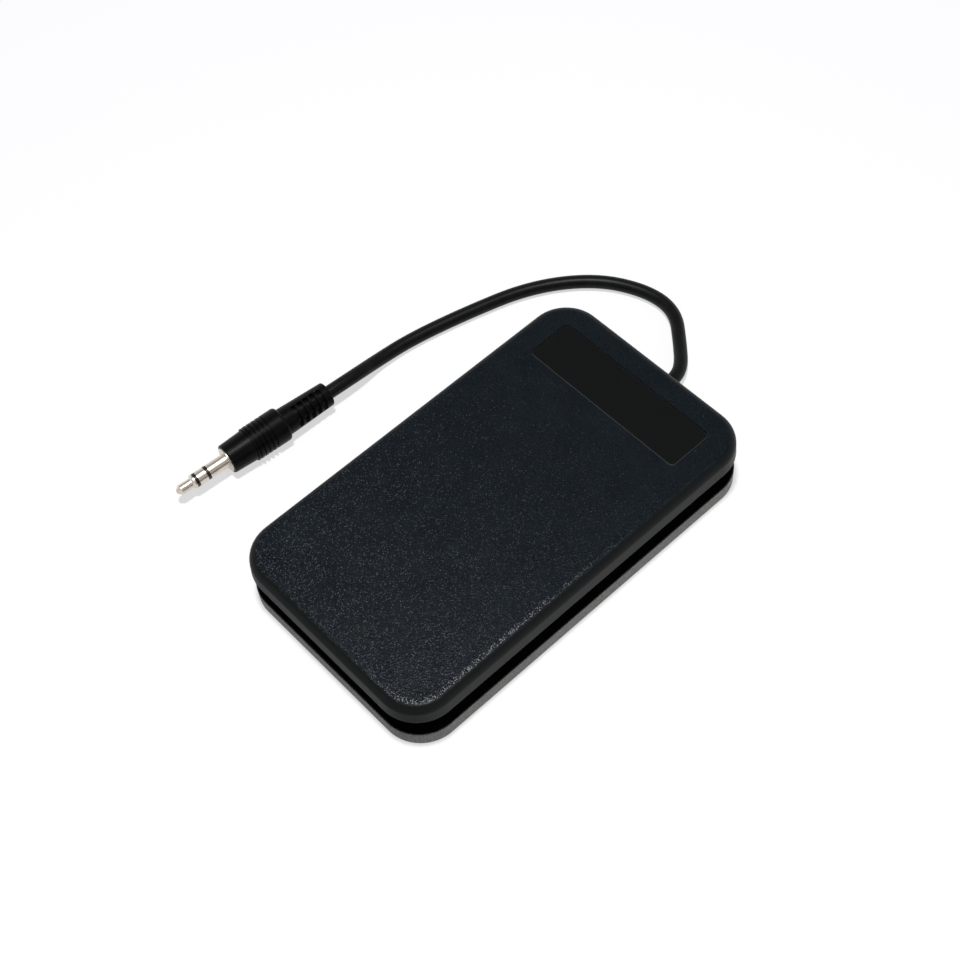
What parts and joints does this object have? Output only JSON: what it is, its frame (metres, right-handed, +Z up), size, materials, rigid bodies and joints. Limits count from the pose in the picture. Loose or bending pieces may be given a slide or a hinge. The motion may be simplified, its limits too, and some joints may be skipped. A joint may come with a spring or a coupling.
{
  "type": "foot pedal switch",
  "caption": "Flat rounded-rectangle foot switch with a hinged, sprung top plate, a foam edge band and a short lead ending in a slim stereo jack plug.",
  "frame": {"origin": "centre of the footprint at floor level, under the rubber sole", "axes": "+Z up, +Y towards the rear end where the cord leaves, +X to the right seen from the front end"},
  "size_m": [0.0912, 0.1265, 0.0156],
  "materials": {
    "cover_plastic": "fine leather grain, near black",
    "plate_plastic": "smooth satin black",
    "tray_plastic": "fine sandblast grain, dark grey",
    "gasket_foam": "matte black foam",
    "sole_rubber": "matte black rubber",
    "plain_steel": "zinc plated",
    "spring_steel": "bright wire",
    "board_laminate": "green solder mask",
    "switch_plastic": "moulded black",
    "contact_metal": "plain",
    "nylon": "natural white",
    "wire_plastic": "coloured insulation",
    "cord_vinyl": "semi-gloss black vinyl",
    "plug_vinyl": "semi-gloss black vinyl",
    "jack_metal": "nickel plated",
    "jack_insulation": "black"
  },
  "bodies": {
    "base": {"base_tray": "tray_plastic", "rubber_pad": "sole_rubber", "edge_gasket": "gasket_foam", "hinge_pin": "plain_steel", "pin_clips": "plain_steel", "return_spring_left": "spring_steel", "return_spring_right": "spring_steel", "stop_bumpers": "sole_rubber", "ballast_plate": "plain_steel", "ballast_screws": "plain_steel", "switch_board": "board_laminate", "board_screws": "plain_steel", "switch_case": "switch_plastic", "switch_lid": "switch_plastic", "switch_terminals": "contact_metal", "strain_relief": "cord_vinyl", "inner_lead": "cord_vinyl", "lead_wires": "wire_plastic", "cord_clamp": "nylon", "clamp_screws": "plain_steel", "cord": "cord_vinyl", "plug_tip": "jack_metal", "plug_ring": "jack_metal", "plug_sleeve": "jack_metal", "plug_insulators": "jack_insulation", "plug_core": "jack_insulation", "plug_handle": "plug_vinyl", "plug_boot": "plug_vinyl"},
    "cover": {"pedal_cover": "cover_plastic", "name_plate": "plate_plastic", "actuator_button": "nylon"},
    "switch_lever": {"switch_lever": "spring_steel"},
    "switch_plunger": {"switch_plunger": "nylon"},
    "snap_blade": {"snap_blade": "contact_metal"}
  },
  "joints": [
    {"name": "pedal_press", "type": "hinge", "parent": "base", "child": "cover", "pos_m": [0, 0.043, 0.0084], "axis": [1, 0, 0], "range_deg": [0, 2.1], "stiffness_Nm_per_rad": 19, "springref_deg": -1.81, "deforming": ["edge_gasket", "return_spring_left", "return_spring_right"]},
    {"name": "lever_swing", "type": "hinge", "parent": "base", "child": "switch_lever", "pos_m": [0, 0.0246, 0.0114], "axis": [1, 0, 0], "range_deg": [0, 6.2]},
    {"name": "plunger_slide", "type": "slide", "parent": "base", "child": "switch_plunger", "axis": [0, 0, -1], "range_m": [0, 0.00037]},
    {"name": "blade_flex", "type": "hinge", "parent": "base", "child": "snap_blade", "pos_m": [0, 0.02475, 0.00845], "axis": [1, 0, 0], "range_deg": [0, 5.95]}
  ],
  "couplings": [
    {"joint": "lever_swing", "follows": "pedal_press", "ratio": 2.9167},
    {"joint": "plunger_slide", "follows": "pedal_press", "m_per_rad": 0.009917},
    {"joint": "blade_flex", "follows": "pedal_press", "ratio": 2.7935}
  ]
}
